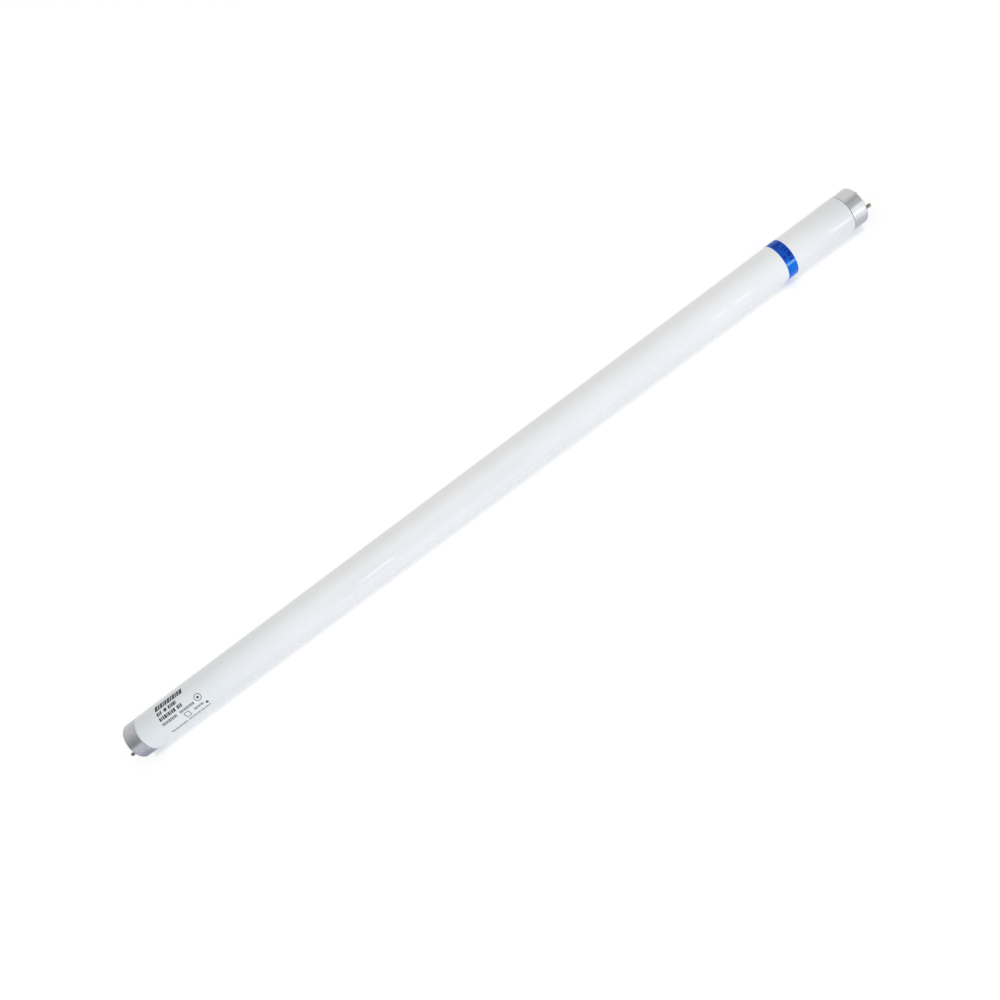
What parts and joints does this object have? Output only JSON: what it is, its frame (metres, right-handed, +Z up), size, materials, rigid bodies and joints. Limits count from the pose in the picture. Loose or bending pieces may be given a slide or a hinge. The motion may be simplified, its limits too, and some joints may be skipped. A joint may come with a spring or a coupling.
{
  "type": "fluorescent tube",
  "caption": "Straight white fluorescent tube with an aluminium cap and a pair of brass contact pins at each end, and a blue marker ring near one end.",
  "frame": {"origin": "centre of the lamp, on its axis, halfway between the two caps", "axes": "+X along the lamp towards the end with the marker ring, Y across the two pins of each cap, +Z up"},
  "size_m": [0.604, 0.0262, 0.0262],
  "materials": {
    "coated_glass": "clear gloss over a matt white coating on the inside",
    "marker_film": "gloss",
    "cap_aluminium": "drawn, satin",
    "insulator": "pressed resin board, matt",
    "cement": "baked resin, matt",
    "pin_brass": "drawn",
    "lead_wire": "drawn wire"
  },
  "bodies": {
    "root": {"sealed_glass_tube": "coated_glass", "marker_band": "marker_film", "left_cap_shell": "cap_aluminium", "left_pin_plate": "insulator", "left_basing_cement": "cement", "left_front_pin": "pin_brass", "left_rear_pin": "pin_brass", "left_front_lead_wire": "lead_wire", "left_rear_lead_wire": "lead_wire", "right_cap_shell": "cap_aluminium", "right_pin_plate": "insulator", "right_basing_cement": "cement", "right_front_pin": "pin_brass", "right_rear_pin": "pin_brass", "right_front_lead_wire": "lead_wire", "right_rear_lead_wire": "lead_wire"}
  },
  "joints": []
}
